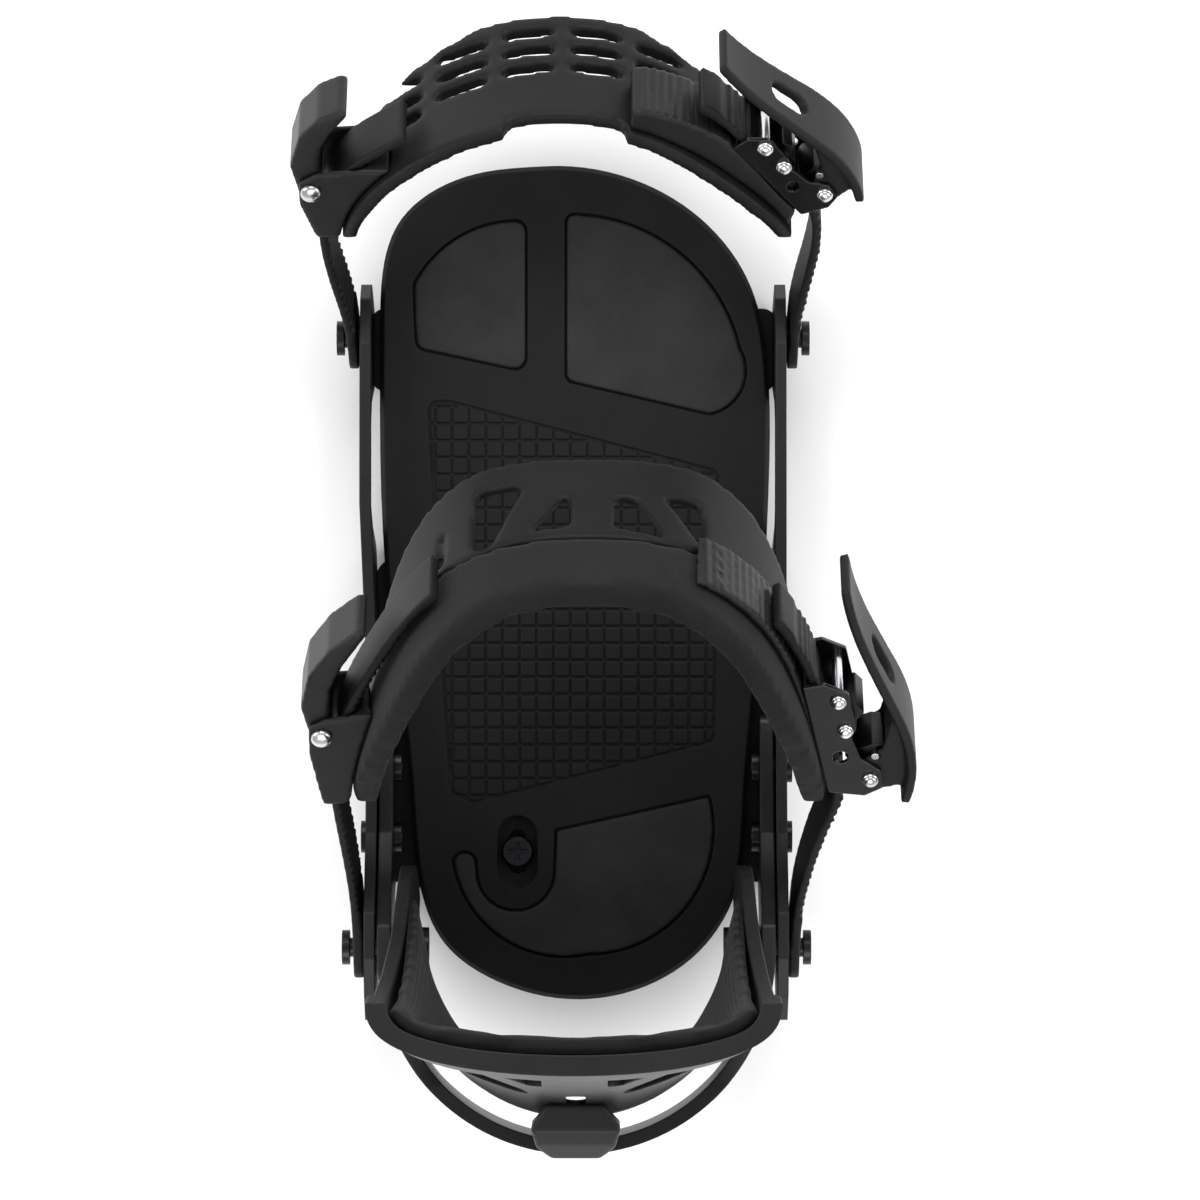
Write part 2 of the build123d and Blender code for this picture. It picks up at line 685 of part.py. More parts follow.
LEVER_CURVE = ((14, 24.5), (3, 28.6), (-11, 29.4), (-25, 27.0), (-41, 23.6), (-55, 21.6), (-68, 21.4))
LEVER_T = 3.0
LEVER_HALF_W = 12.6


def buckle_lever(size):
    plate = prism(strip_face(scaled(LEVER_CURVE, size), LEVER_T), -LEVER_HALF_W, LEVER_HALF_W)
    taper = closed_polygon(
        [(-80, -8.5), (-52, -10.5), (-20, -12.6), (22, -12.6), (22, 12.6), (-20, 12.6), (-52, 10.5), (-80, 8.5)]
    )
    mask = Rot(90, 0, 0) * extrude(scale(taper, (size, 1, 1)), 100, both=True)
    plate = plate & mask
    plate -= Rot(90, 0, 0) * extrude(Pos(-33 * size, 0) * SlotOverall(17 * size, 8), 60, both=True)
    cheek = [(-2, 12.5), (8, 12.0), (9.5, 17), (9.0, 27.4), (-14, 29.2), (-18, 26), (-6, 21)]
    body = plate + slab(cheek, size, 8.2, 9.7, 1.0) + slab(cheek, size, -9.7, -8.2, 1.0)
    body -= pin_hole(LEVER_PIN, size, PIN_R + PIN_GAP)
    body -= pin_hole(PAWL_PIN, size, 1.22)
    return body


def lever_pin(size):
    return prism(Pos(PAWL_PIN[0] * size, PAWL_PIN[1] * size) * Circle(1.2), -9.6, 9.6)


def drive_pawl(size):
    shape = [(-7.0, 18.5), (-6, 22), (-2.4, 22), (-1.0, 18), (-2.2, 10.6), (-4.5, 9.5), (-5.6, 12)]
    return slab(shape, size, -7.6, 7.6, 0.5) - pin_hole(PAWL_PIN, size, 1.26)


def lock_pawl(size):
    shape = [(-9.4, 9.2), (-13, 9.1), (-19, 9.2), (-22.6, 10.8), (-23.4, 16.5), (-20, 18.4), (-17.5, 15.6), (-13, 14.6)]
    return slab(shape, size, -7.6, 7.6, 0.5) - pin_hole(LOCK_PIN, size, PIN_R + PIN_GAP)


def buckle_springs(size):
    """Torsion springs on the lever pin and the lock pin, drawn as their coils' envelopes."""
    x, y = LEVER_PIN[0] * size, LEVER_PIN[1] * size
    coil = prism(Pos(x, y) * (Circle(2.9) - Circle(PIN_R + 0.1)), -7.6, 7.6)
    for w in range(-6, 8, 2):
        coil -= prism(Pos(x, y) * (Circle(3.2) - Circle(2.5)), w - 0.25, w + 0.25)
    return coil


# ---- build every node --------------------------------------------------------------
def strap_screws():
    """Anchor screws, nuts and spacers of both straps."""
    screws = []
    nuts = []
    spacers = []
    places = (
        (ANKLE_AXIS_Y, ANKLE_AXIS_Z, WALL_IN, 0.0, HOOP_R - HOOP_T - 0.5),
        (TOE_AXIS_Y, TOE_AXIS_Z, WALL_IN, WALL_FLARE, WALL_IN + NUT_DEPTH - 0.05),
    )
    for y, z, wall, flare, inner in places:
        for side in (-1, 1):
            extra = flare if side < 0 else 0.0
            face = wall + WALL_T + extra
            nut_out = inner + extra
            cap = side * (face + 0.5 + 0.25 + LADDER_T + 1.2)
            ends = sorted((side * (nut_out - NUT_T), cap))
            screw = rod_x(y, z, ANCHOR_R, ends[0], ends[1])
            head_ends = sorted((cap, cap + side * 2.4))
            head = rod_x(y, z, 5.4, head_ends[0], head_ends[1])
            screws.append(screw + head)
            nut_ends = sorted((side * (nut_out - NUT_T), side * nut_out))
            nut = rod_x(y, z, NUT_R, nut_ends[0], nut_ends[1])
            nuts.append(nut - rod_x(y, z, ANCHOR_R + RUN_GAP, nut_ends[0] - 1, nut_ends[1] + 1))
            spacer_ends = sorted((side * (face + 0.02), side * (face + 0.45)))
            spacer = rod_x(y, z, 7.0, spacer_ends[0], spacer_ends[1])
            spacers.append(spacer - rod_x(y, z, ANCHOR_R + RUN_GAP, spacer_ends[0] - 1, spacer_ends[1] + 1))
    return screws, nuts, spacers


# ---- straps' own hardware ------------------------------------------------------------
ANKLE_RIVET = (-76.2, 39.0)
TOE_RIVET = (-80.7, 147.0)
ANKLE_BUCKLE = ((72.6, 22.0), -78.3, 1.0)
TOE_BUCKLE = ((64.1, 140.1), -51.7, 0.8)
CHANNEL_HALF = LADDER_W / 2 + 0.3
FLOOR_Q = 2.6
FLOOR_T = 1.1
LADDER_GAP = 0.6


def on_buckle(place, u, q):
    """Strap-frame point beside a buckle: u along it, q outwards, both from its origin."""
    origin, angle, size = place
    c, s = cos(radians(angle)), sin(radians(angle))
    return (origin[0] + u * c - q * s, origin[1] + u * s + q * c)


def through_buckle(place, stations):
    """Middle of the ladder on the buckle's floor, at stations along the buckle."""
    q = FLOOR_Q * place[2] + FLOOR_T + LADDER_GAP + LADDER_T / 2
    return [on_buckle(place, u, q) for u in stations]


ANKLE_LEFT_PATH = [
    (-67.5, -68), (-67.5, -57), (-68, -30), (-71.5, 2), (-72.8, 20), (-70.3, 38), (-63, 57), (-55.5, 71.5),
    (-48.5, 83), (-41.5, 91.5),
]
ANKLE_RIGHT_PATH = [(67.5, -68), (67.5, -57), (68.3, -36), (72.3, -13), (77.6, 5)]
ANKLE_RIGHT_PATH += through_buckle(ANKLE_BUCKLE, (8, 0, -12, -24, -36)) + [(65.5, 72), (59.5, 81.5)]
TOE_LEFT_PATH = [
    (-69.7, 66), (-69.7, 77), (-70.8, 90), (-75, 110), (-77.2, 126), (-76.2, 139), (-71, 150), (-62.5, 158),
    (-52, 165.5),
]
TOE_RIGHT_PATH = [(67.5, 66), (67.5, 77), (68.3, 90), (71.5, 108), (73.8, 124), (73.6, 133)]
TOE_RIGHT_PATH += through_buckle(TOE_BUCKLE, (5, -3, -12, -21, -30)) + [(43, 174), (37.5, 177.5)]


def adjuster_base(side_points, floor_points, path, rivet, w0, strap):
    """Channel that guides the left ladder over the end of the strap, with ears for the lever's pin."""
    outer = CHANNEL_HALF + 1.8
    ear = closed_polygon(side_points, 2.0)
    body = prism(ear, w0 + CHANNEL_HALF, w0 + outer) + prism(ear, w0 - outer, w0 - CHANNEL_HALF)
    body += prism(closed_polygon(floor_points), w0 - outer, w0 + outer)
    body -= prism(strip_face(path, LADDER_T + 0.6), w0 - CHANNEL_HALF, w0 + CHANNEL_HALF)
    body -= strap
    body -= prism(Pos(*rivet) * Circle(2.0), w0 - 30, w0 + 30)
    return body.solids().sort_by(SortBy.VOLUME)[-1]


def adjuster_pin(rivet, w0):
    """Tubular rivet with a dished head at each end."""
    outer = CHANNEL_HALF + 1.8
    pin = prism(Pos(*rivet) * Circle(1.98), w0 - outer - 0.02, w0 + outer + 0.02)
    for side in (-1, 1):
        ends = sorted((w0 + side * (outer + 0.02), w0 + side * (outer + 1.2)))
        pin += prism(Pos(*rivet) * Circle(3.1), ends[0], ends[1])
        dish = sorted((w0 + side * (outer + 0.7), w0 + side * (outer + 3)))
        pin -= prism(Pos(*rivet) * Circle(1.5), dish[0], dish[1])
    return pin


def adjuster_lever(points, rivet, w0):
    """Wing lever of the strap length adjuster."""
    body = prism(closed_polygon(points, 0.8), w0 - 9.5, w0 + 9.5)
    return body - prism(Pos(*rivet) * Circle(2.05), w0 - 30, w0 + 30)


def connector(outer_points, inner_points, ribs_from, ribs_to, half_width, w0, strap):
    """Ribbed tongue that carries the buckle on the outer side of the strap."""
    path = Spline(outer_points)
    rib = 2.8 / path.length
    outline = [curve_offset(path, ribs_from * i / 8, 0) for i in range(8)]
    for i in range(int((ribs_to - ribs_from) / rib)):
        t = ribs_from + i * rib
        outline.append(curve_offset(path, t, 0))
        outline.append(curve_offset(path, t + 0.15 * rib, -0.8))
        outline.append(curve_offset(path, t + 0.55 * rib, -0.8))
        outline.append(curve_offset(path, t + 0.7 * rib, 0))
    outline += [curve_offset(path, 1.0, 0)]
    face = make_face(Polyline(outline + list(inner_points), close=True))
    return (prism(face, w0 - half_width, w0 + half_width) - strap).solids().sort_by(SortBy.VOLUME)[-1]


def save_buckle(prefix, place, w0, world):
    """Ratchet buckle: frame, three rivets, lever, its pin, two pawls and the spring."""
    origin, angle, size = place
    at = Pos(origin[0], origin[1], w0) * Rot(0, 0, angle)
    save(f"{prefix}_buckle_frame", world(at * buckle_frame(size)))
    save(f"{prefix}_buckle_rivets", *[world(at * pin) for pin in buckle_pins(size)])
    save(f"{prefix}_buckle_lever", world(at * buckle_lever(size)))
    save(f"{prefix}_lever_pin", world(at * lever_pin(size)))
    save(f"{prefix}_drive_pawl", world(at * drive_pawl(size)))
    save(f"{prefix}_lock_pawl", world(at * lock_pawl(size)))
    save(f"{prefix}_buckle_spring", world(at * buckle_springs(size)))


def build_base():
    save("mounting_disc", mounting_disc())
    save("base_gasket", base_gasket())
    save("base_plate", base_plate())
    save("heel_hoop", heel_hoop())
    save("hoop_screws", *hoop_screws())
    save("hoop_nuts", *hoop_nuts())
    screws, nuts, spacers = strap_screws()
    save("strap_anchor_screws", *screws)
    save("strap_anchor_nuts", *nuts)
    save("strap_anchor_spacers", *spacers)
    pivots, washers = pivot_hardware()
    save("highback_pivot_screws", *pivots)
    save("highback_pivot_washers", *washers)
    save("footbed_screw", footbed_screw())


def build_footbed():
    save("footbed", footbed())
    save("toe_pad_inner", footbed_pad(inset_face(toe_pad_inner_face())))
    small_outer = rounded(inset_face(toe_pad_outer_face()), OUTER_PAD_CORNER - PAD_GAP)
    save("toe_pad_outer", footbed_pad(small_outer))
    save("heel_pad", footbed_pad(inset_face(heel_pad_face())))


def build_highback():
    save("highback_shell", highback_shell())
    save("highback_pad", highback_pad())
    save("lean_adjuster_block", lean_adjuster_block())


def build_ankle():
    w0 = ANKLE_W0
    clear = ankle_solid(-ANKLE_PAD_OUT - 0.3)
    save("ankle_strap_shell", ankle(ankle_strap_shell()))
    save("ankle_strap_pad", ankle(ankle_strap_pad()))
    save("ankle_length_ladder", ankle(ladder(ANKLE_LEFT_PATH, -1, 0.2, 0.97, ANKLE_D0, w0)))
    save("ankle_ladder", ankle(ladder(ANKLE_RIGHT_PATH, -1, 0.2, 0.95, ANKLE_D0, w0)))
    ears = [(-66, 13), (-76.5, 11), (-80.4, 32), (-80.4, 42), (-75, 45.5), (-62, 47)]
    floor = [(-60, 14), (-72.6, 14), (-72.8, 20), (-70.3, 38), (-67, 47), (-56, 47)]
    save("ankle_adjuster_base", ankle(adjuster_base(ears, floor, ANKLE_LEFT_PATH, ANKLE_RIVET, w0, clear)))
    save("ankle_adjuster_pin", ankle(adjuster_pin(ANKLE_RIVET, w0)))
    wing = [(-79.6, 36), (-82.4, 48), (-80, 60), (-73.5, 70), (-64.5, 78), (-61.5, 77), (-69.5, 64), (-73.2, 55),
            (-73.8, 46), (-73.2, 36.5), (-76.5, 34.4)]
    save("ankle_adjuster_lever", ankle(adjuster_lever(wing, ANKLE_RIVET, w0)))
    outer = [on_buckle(ANKLE_BUCKLE, u, FLOOR_Q - 0.5) for u in (3, -16, -36)]
    outer += [(61.8, 71.5), (53.3, 85.5), (43, 94.7), (36, 98.8)]
    inner = [(34, 95), (36, 85), (58, 50), (66, 19)]
    save("ankle_buckle_mount", ankle(connector(outer, inner, 0.5, 0.99, 11.0, w0, clear)))
    save_buckle("ankle", ANKLE_BUCKLE, w0, ankle)


def build_toe():
    w0 = TOE_W0
    clear = toe_solid(-0.3)
    save("toe_strap_cap", toe(toe_strap_cap()))
    save("toe_length_ladder", toe(ladder(TOE_LEFT_PATH, -1, 0.2, 0.97, TOE_D0, w0)))
    save("toe_ladder", toe(ladder(TOE_RIGHT_PATH, -1, 0.2, 0.95, TOE_D0, w0)))
    ears = [(-68, 129), (-79.6, 128), (-84.6, 142), (-84.6, 150), (-79, 153.5), (-64, 155)]
    floor = [(-62, 130), (-77.0, 129), (-76.2, 139), (-71, 150), (-66, 155), (-56, 155)]
    save("toe_adjuster_base", toe(adjuster_base(ears, floor, TOE_LEFT_PATH, TOE_RIVET, w0, clear)))
    save("toe_adjuster_pin", toe(adjuster_pin(TOE_RIVET, w0)))
    wing = [(-84.4, 144), (-87, 155), (-84, 166), (-78, 173), (-71, 176.5), (-68.5, 175), (-74, 168), (-77.5, 161),
            (-78.2, 154), (-77.6, 145), (-80.8, 142.6)]
    save("toe_adjuster_lever", toe(adjuster_lever(wing, TOE_RIVET, w0)))
    outer = [on_buckle(TOE_BUCKLE, u, FLOOR_Q * TOE_BUCKLE[2] - 0.5) for u in (3, -14, -30)]
    outer += [(36.5, 171.5), (26, 176.2), (17, 178)]
    inner = [(16, 168), (30, 158), (52, 140), (64, 130)]
    save("toe_buckle_mount", toe(connector(outer, inner, 0.5, 0.99, 11.0, w0, clear)))
    save_buckle("toe", TOE_BUCKLE, w0, toe)


build_base()
build_footbed()
build_highback()
build_ankle()
build_toe()
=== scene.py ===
# %% [markdown]
# # A snowboard binding, seen from straight above
# The real object is a right-foot strap binding: a base plate on a turning disc, a footbed with
# foam cushions, a heel hoop, a highback that folds forward, and two straps with ratchet buckles.
# The hard parts arrive finished from the engineering model. This script gives them their
# finishes, and models the soft and moulded parts again, because a foam pad or a urethane strap
# has round edges and a swollen surface that an engineering solid doesn't have.

# %% Load the frame
import json

import bmesh
import bpy
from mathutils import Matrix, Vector


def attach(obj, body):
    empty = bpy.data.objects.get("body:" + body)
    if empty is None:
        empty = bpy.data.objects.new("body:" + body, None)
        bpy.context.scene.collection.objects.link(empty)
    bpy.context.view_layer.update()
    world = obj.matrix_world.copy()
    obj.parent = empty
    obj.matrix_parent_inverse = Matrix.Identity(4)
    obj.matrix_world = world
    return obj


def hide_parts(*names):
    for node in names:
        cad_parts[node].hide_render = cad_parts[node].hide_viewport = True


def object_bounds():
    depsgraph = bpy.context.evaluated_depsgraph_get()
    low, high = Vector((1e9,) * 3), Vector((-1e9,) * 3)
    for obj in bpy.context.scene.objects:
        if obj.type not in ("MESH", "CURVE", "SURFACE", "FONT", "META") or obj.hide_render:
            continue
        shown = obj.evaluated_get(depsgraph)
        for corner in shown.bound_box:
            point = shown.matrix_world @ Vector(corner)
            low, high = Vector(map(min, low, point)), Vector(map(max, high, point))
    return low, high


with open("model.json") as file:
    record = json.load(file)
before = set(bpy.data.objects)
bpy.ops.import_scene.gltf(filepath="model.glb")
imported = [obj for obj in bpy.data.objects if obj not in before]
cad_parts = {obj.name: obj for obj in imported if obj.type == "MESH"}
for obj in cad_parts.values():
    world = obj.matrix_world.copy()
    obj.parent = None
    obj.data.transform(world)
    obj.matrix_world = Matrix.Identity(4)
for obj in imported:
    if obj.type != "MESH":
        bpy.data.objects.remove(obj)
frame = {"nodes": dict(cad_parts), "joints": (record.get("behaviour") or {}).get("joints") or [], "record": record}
cad_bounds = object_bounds()
print("model box", [tuple(round(v, 4) for v in corner) for corner in cad_bounds])

# %% [markdown]
# ## Camera, floor and light
# The object lies on a pale table and the camera looks straight down from two metres, with a long
# lens, so the tall highback is only a little larger than the footbed. Black plastic shows its
# form by broad soft reflections, so the lights are large panels round the object. A small hard
# lamp would leave it a black hole with a few sparks.

# %% Camera
CAMERA_HEIGHT = 2.0
CAMERA_X = 0.0073
LENS_MM = 189.0
SENSOR_MM = 36.0
VIEW_DEPTH = 10.0
camera_data = bpy.data.cameras.new("camera")
camera_data.lens = LENS_MM
camera_data.sensor_width = SENSOR_MM
camera_data.clip_end = VIEW_DEPTH
camera = bpy.data.objects.new("camera", camera_data)
camera.location = (CAMERA_X, 0.0, CAMERA_HEIGHT)
bpy.context.scene.collection.objects.link(camera)
bpy.context.scene.camera = camera
print("camera at", tuple(round(v, 4) for v in camera.location), "lens", LENS_MM, "mm")

# %% Floor
FLOOR_SIZE = 12.0
FLOOR_GAP = 0.0004
FLOOR_COLOUR = (0.93, 0.93, 0.93, 1)
FLOOR_ROUGHNESS = 0.9
FLOOR_GLOSS = 0.1
floor_mesh = bpy.data.meshes.new("floor")
bm = bmesh.new()
bmesh.ops.create_grid(bm, x_segments=1, y_segments=1, size=FLOOR_SIZE / 2)
bm.to_mesh(floor_mesh)
bm.free()
floor = bpy.data.objects.new("floor", floor_mesh)
floor.location.z = cad_bounds[0][2] - FLOOR_GAP
bpy.context.scene.collection.objects.link(floor)
floor_paint = bpy.data.materials.new("floor_paint")
floor_paint.use_nodes = True
floor_shader = floor_paint.node_tree.nodes["Principled BSDF"]
floor_shader.inputs["Base Color"].default_value = FLOOR_COLOUR
floor_shader.inputs["Roughness"].default_value = FLOOR_ROUGHNESS
floor_shader.inputs["Specular IOR Level"].default_value = FLOOR_GLOSS
floor_mesh.materials.append(floor_paint)
print("floor", FLOOR_SIZE, "m wide")


# %% Lights
def softbox(name, place, target, size, watts):
    """Large square panel that points at the target."""
    data = bpy.data.lights.new(name, "AREA")
    data.shape = "SQUARE"
    data.size = size
    data.energy = watts
    lamp = bpy.data.objects.new(name, data)
    lamp.location = place
    lamp.rotation_euler = (Vector(target) - Vector(place)).to_track_quat("-Z", "Y").to_euler()
    bpy.context.scene.collection.objects.link(lamp)
    print(name, watts, "W")


CENTRE = (0.0, 0.0, 0.06)
ROOM_LIGHT = 0.62
softbox("panel_toe", (0.1, 1.3, 1.3), CENTRE, size=1.1, watts=20)
softbox("panel_left", (-1.4, 0.1, 1.1), CENTRE, size=1.0, watts=15)
softbox("panel_right", (1.4, -0.1, 1.1), CENTRE, size=1.0, watts=13)
softbox("panel_heel", (0.0, -1.4, 1.2), CENTRE, size=1.0, watts=12)
world = bpy.data.worlds.new("studio")
world.use_nodes = True
world.node_tree.nodes["Background"].inputs["Color"].default_value = (1, 1, 1, 1)
world.node_tree.nodes["Background"].inputs["Strength"].default_value = ROOM_LIGHT
bpy.context.scene.world = world
bpy.context.scene.view_settings.view_transform = "Standard"


# %% [markdown]
# ## Finishes
# Every plastic here is black, and what tells them apart is the surface: spark-eroded nylon is
# grainy and dull, urethane straps are satin, foam is matt, and the anodised ratchet plates are
# glossy. So each finish is one small node tree with its own grain, roughness and sheen. The
# patterns read Object coordinates, because each piece's place is in its mesh.

# %% Node helpers
def node(tree, kind, **values):
    """New node, with each value put on the socket or the setting of that name."""
    made = tree.nodes.new(kind)
    for key, value in values.items():
        if key in made.inputs:
            made.inputs[key].default_value = value
        else:
            setattr(made, key, value)
    return made


def object_place(material):
    """The Object coordinates that the material's own patterns read."""
    tree = material.node_tree
    return next(n for n in tree.nodes if n.type == "TEX_COORD").outputs["Object"]


# %% Colour and roughness that drift
ROUGHNESS_DRIFT = 0.06
DARK_END = 0.3
LIGHT_END = 0.7


def finish(name, colour, roughness, shade=0.25, patch=45.0):
    """Material whose colour and roughness drift a little over the surface."""
    material = bpy.data.materials.new(name)
    material.use_nodes = True
    tree = material.node_tree
    shader = tree.nodes["Principled BSDF"]
    place = tree.nodes.new("ShaderNodeTexCoord")
    cloud = node(tree, "ShaderNodeTexNoise", Scale=patch, Detail=5.0, Roughness=0.6)
    tree.links.new(place.outputs["Object"], cloud.inputs["Vector"])
    tint = tree.nodes.new("ShaderNodeValToRGB")
    dark = [c * (1 - shade) for c in colour]
    light = [min(1.0, c * (1 + shade)) for c in colour]
    tint.color_ramp.elements[0].position = DARK_END
    tint.color_ramp.elements[0].color = (*dark, 1)
    tint.color_ramp.elements[1].position = LIGHT_END
    tint.color_ramp.elements[1].color = (*light, 1)
    tree.links.new(cloud.outputs["Fac"], tint.inputs["Fac"])
    tree.links.new(tint.outputs["Color"], shader.inputs["Base Color"])
    span = node(tree, "ShaderNodeMapRange")
    span.inputs["To Min"].default_value = roughness - ROUGHNESS_DRIFT
    span.inputs["To Max"].default_value = min(1.0, roughness + ROUGHNESS_DRIFT)
    tree.links.new(cloud.outputs["Fac"], span.inputs["Value"])
    tree.links.new(span.outputs["Result"], shader.inputs["Roughness"])
    return material


# %% Grain and rounded edges
EDGE_SAMPLES = 6
GRAIN_STRENGTH = 0.35
COAT_ROUGHNESS = 0.12


def bump_from(material, height, strength, distance, edge=0.0):
    """Sends a height to the shader's normal, over edges rounded by the given radius."""
    tree = material.node_tree
    bump = node(tree, "ShaderNodeBump", Strength=strength, Distance=distance)
    tree.links.new(height, bump.inputs["Height"])
    if edge:
        soft = tree.nodes.new("ShaderNodeBevel")
        soft.samples = EDGE_SAMPLES
        soft.inputs["Radius"].default_value = edge
        tree.links.new(soft.outputs["Normal"], bump.inputs["Normal"])
    tree.links.new(bump.outputs["Normal"], tree.nodes["Principled BSDF"].inputs["Normal"])


def moulded(name, colour, roughness, grain, depth=0.00012, edge=0.0007, coat=0.0, gloss=0.22):
    """Moulded plastic: fine grain, rounded edges and slight colour drift."""
    material = finish(name, colour, roughness)
    tree = material.node_tree
    speckle = node(tree, "ShaderNodeTexNoise", Scale=grain, Detail=4.0, Roughness=0.7)
    tree.links.new(object_place(material), speckle.inputs["Vector"])
    bump_from(material, speckle.outputs["Fac"], GRAIN_STRENGTH, depth, edge)
    shader = tree.nodes["Principled BSDF"]
    shader.inputs["Specular IOR Level"].default_value = gloss
    shader.inputs["Coat Weight"].default_value = coat
    shader.inputs["Coat Roughness"].default_value = COAT_ROUGHNESS
    print("finish", name)
    return material


# %% [markdown]
# ### Plastics, foam and metals
# Nylon is the base and the highback, urethane the straps. The ratchet plates are black anodised
# aluminium under a clear coat, and the rivets are bright steel. The colours are all near black,
# and roughness and gloss do most of the work.

# %% Plastics
nylon = moulded(
    "nylon_black", (0.0060, 0.0060, 0.0064), roughness=0.46, grain=1400, gloss=0.30)
hoop_plastic = moulded(
    "hoop_black", (0.0055, 0.0055, 0.0058), roughness=0.36, grain=1800, gloss=0.34)
footbed_rubber = moulded(
    "footbed_black", (0.0048, 0.0048, 0.0052), roughness=0.58, grain=1500)
pad_foam = moulded(
    "pad_foam", (0.024, 0.024, 0.025), roughness=0.78, grain=2600, depth=0.0002)
urethane = moulded(
    "strap_urethane", (0.0070, 0.0070, 0.0074), roughness=0.50, grain=1700, depth=0.00008,
    gloss=0.16)
guide_plastic = moulded(
    "guide_plastic", (0.0085, 0.0085, 0.0090), roughness=0.42, grain=1500)
lever_plastic = moulded(
    "lever_matte", (0.0100, 0.0100, 0.0105), roughness=0.40, grain=1600, depth=0.00006)
gasket_foam = moulded(
    "gasket_foam", (0.0060, 0.0060, 0.0060), roughness=0.85, grain=1800, depth=0.0002)

# %% Metals
anodised = moulded(
    "lever_gloss", (0.0045, 0.0045, 0.0048), roughness=0.20, grain=900, depth=0.00003,
    edge=0.0006, coat=0.3, gloss=0.40)
lever_black = moulded(
    "lever_satin", (0.0075, 0.0075, 0.0080), roughness=0.50, grain=1300, depth=0.00005,
    edge=0.0008, gloss=0.18)
pawl_steel = moulded(
    "pawl_steel", (0.030, 0.030, 0.032), roughness=0.30, grain=1200, depth=0.00004, edge=0.0004)
black_zinc = moulded(
    "screw_steel", (0.030, 0.030, 0.033), roughness=0.34, grain=1200, depth=0.00004, edge=0.0004)
rivet_steel = moulded(
    "rivet_steel", (0.60, 0.61, 0.63), roughness=0.22, grain=900, depth=0.00003, edge=0.0004)
for metal in (pawl_steel, black_zinc, rivet_steel):
    metal.node_tree.nodes["Principled BSDF"].inputs["Metallic"].default_value = 1.0

# %% [markdown]
# ### Woven lining
# The padding is faced with a fine woven cloth. Two wave patterns at right angles make the
# threads, and a little sheen gives the grey bloom that black cloth has at grazing angles.


# %% Cloth finish
THREADS = 420.0
THREAD_STRENGTH = 0.4
THREAD_DEPTH = 0.0003
CLOTH_ROUGHNESS = 0.82
CLOTH_GLOSS = 0.12
SHEEN = 0.06
SHEEN_ROUGHNESS = 0.5


def woven(name, colour):
    """Fine black cloth, with threads across and along it."""
    material = finish(name, colour, CLOTH_ROUGHNESS, shade=0.2, patch=30.0)
    tree = material.node_tree
    across = node(tree, "ShaderNodeTexWave", Scale=THREADS, Distortion=0.4)
    across.bands_direction = "X"
    along = node(tree, "ShaderNodeTexWave", Scale=THREADS, Distortion=0.4)
    along.bands_direction = "Z"
    for wave in (across, along):
        tree.links.new(object_place(material), wave.inputs["Vector"])
    both = node(tree, "ShaderNodeMath", operation="MULTIPLY")
    tree.links.new(across.outputs["Fac"], both.inputs[0])
    tree.links.new(along.outputs["Fac"], both.inputs[1])
    bump_from(material, both.outputs["Value"], THREAD_STRENGTH, THREAD_DEPTH)
    shader = tree.nodes["Principled BSDF"]
    shader.inputs["Specular IOR Level"].default_value = CLOTH_GLOSS
    shader.inputs["Sheen Weight"].default_value = SHEEN
    shader.inputs["Sheen Roughness"].default_value = SHEEN_ROUGHNESS
    print("finish", name)
    return material


lining = woven("highback_lining", (0.0060, 0.0060, 0.0065))
padding = woven("strap_padding", (0.0115, 0.0115, 0.0121))

# %% [markdown]
# ### Finish for each engineering part
# The engineering parts stay where they are and keep their meshes. Only what their material
# slots hold is exchanged.

# %% Dress the engineering parts
SLOT_FINISH = {
    "nylon_black": nylon,
    "hoop_black": hoop_plastic,
    "footbed_black": footbed_rubber,
    "pad_foam": pad_foam,
    "highback_lining": lining,
    "strap_shell": urethane,
    "strap_padding": padding,
    "ladder_plastic": urethane,
    "guide_plastic": guide_plastic,
    "lever_gloss": anodised,
    "lever_matte": lever_plastic,
    "pawl_steel": pawl_steel,
    "rivet_steel": rivet_steel,
    "screw_steel": black_zinc,
    "gasket_foam": gasket_foam,
}
slot_of = {s["node"]: s["material_slot"] for s in frame["record"]["subparts"]}
for name, obj in frame["nodes"].items():
    for slot in obj.material_slots:
        slot.material = SLOT_FINISH[slot_of[name]]
print("dressed", len(frame["nodes"]), "parts")

# %% [markdown]
# ## Soft and moulded pieces
# A moulded strap or a foam pad has the engineering solid's place and size, but rounder edges. A
# copy of the solid's mesh is merged, remeshed into even small faces and smoothed. That keeps the
# windows and slots and rounds every edge, which a bevel on a thin curved shell often can't do.


# %% Copy a part's mesh
MERGE_DISTANCE = 0.00001


def body_holding(node_name):
    """The moving body that carries a node."""
    bodies = frame["record"]["behaviour"]["bodies"]
    return next(body for body, names in bodies.items() if node_name in names)


def merged_copy(node_name, piece_name):
    """The node's mesh in an object of its own, with its loose triangles joined."""
    mesh = frame["nodes"][node_name].data.copy()
    mesh.name = piece_name
    bm = bmesh.new()
    bm.from_mesh(mesh)
    bmesh.ops.remove_doubles(bm, verts=bm.verts, dist=MERGE_DISTANCE)
    bm.to_mesh(mesh)
    bm.free()
    piece = bpy.data.objects.new(piece_name, mesh)
    bpy.context.scene.collection.objects.link(piece)
    return piece


# %% Remesh and smooth
SMOOTH_FACTOR = 0.5


def apply_modifiers(piece):
    """Makes what the piece's modifiers show its own mesh."""
    bpy.context.view_layer.update()
    evaluated = piece.evaluated_get(bpy.context.evaluated_depsgraph_get())
    baked = bpy.data.meshes.new_from_object(evaluated)
    piece.modifiers.clear()
    piece.data = baked


def even_faces(piece, voxel):
    """Remeshes the piece into even faces of about the given size."""
    remesh = piece.modifiers.new("even", "REMESH")
    remesh.mode = "VOXEL"
    remesh.voxel_size = voxel
    apply_modifiers(piece)


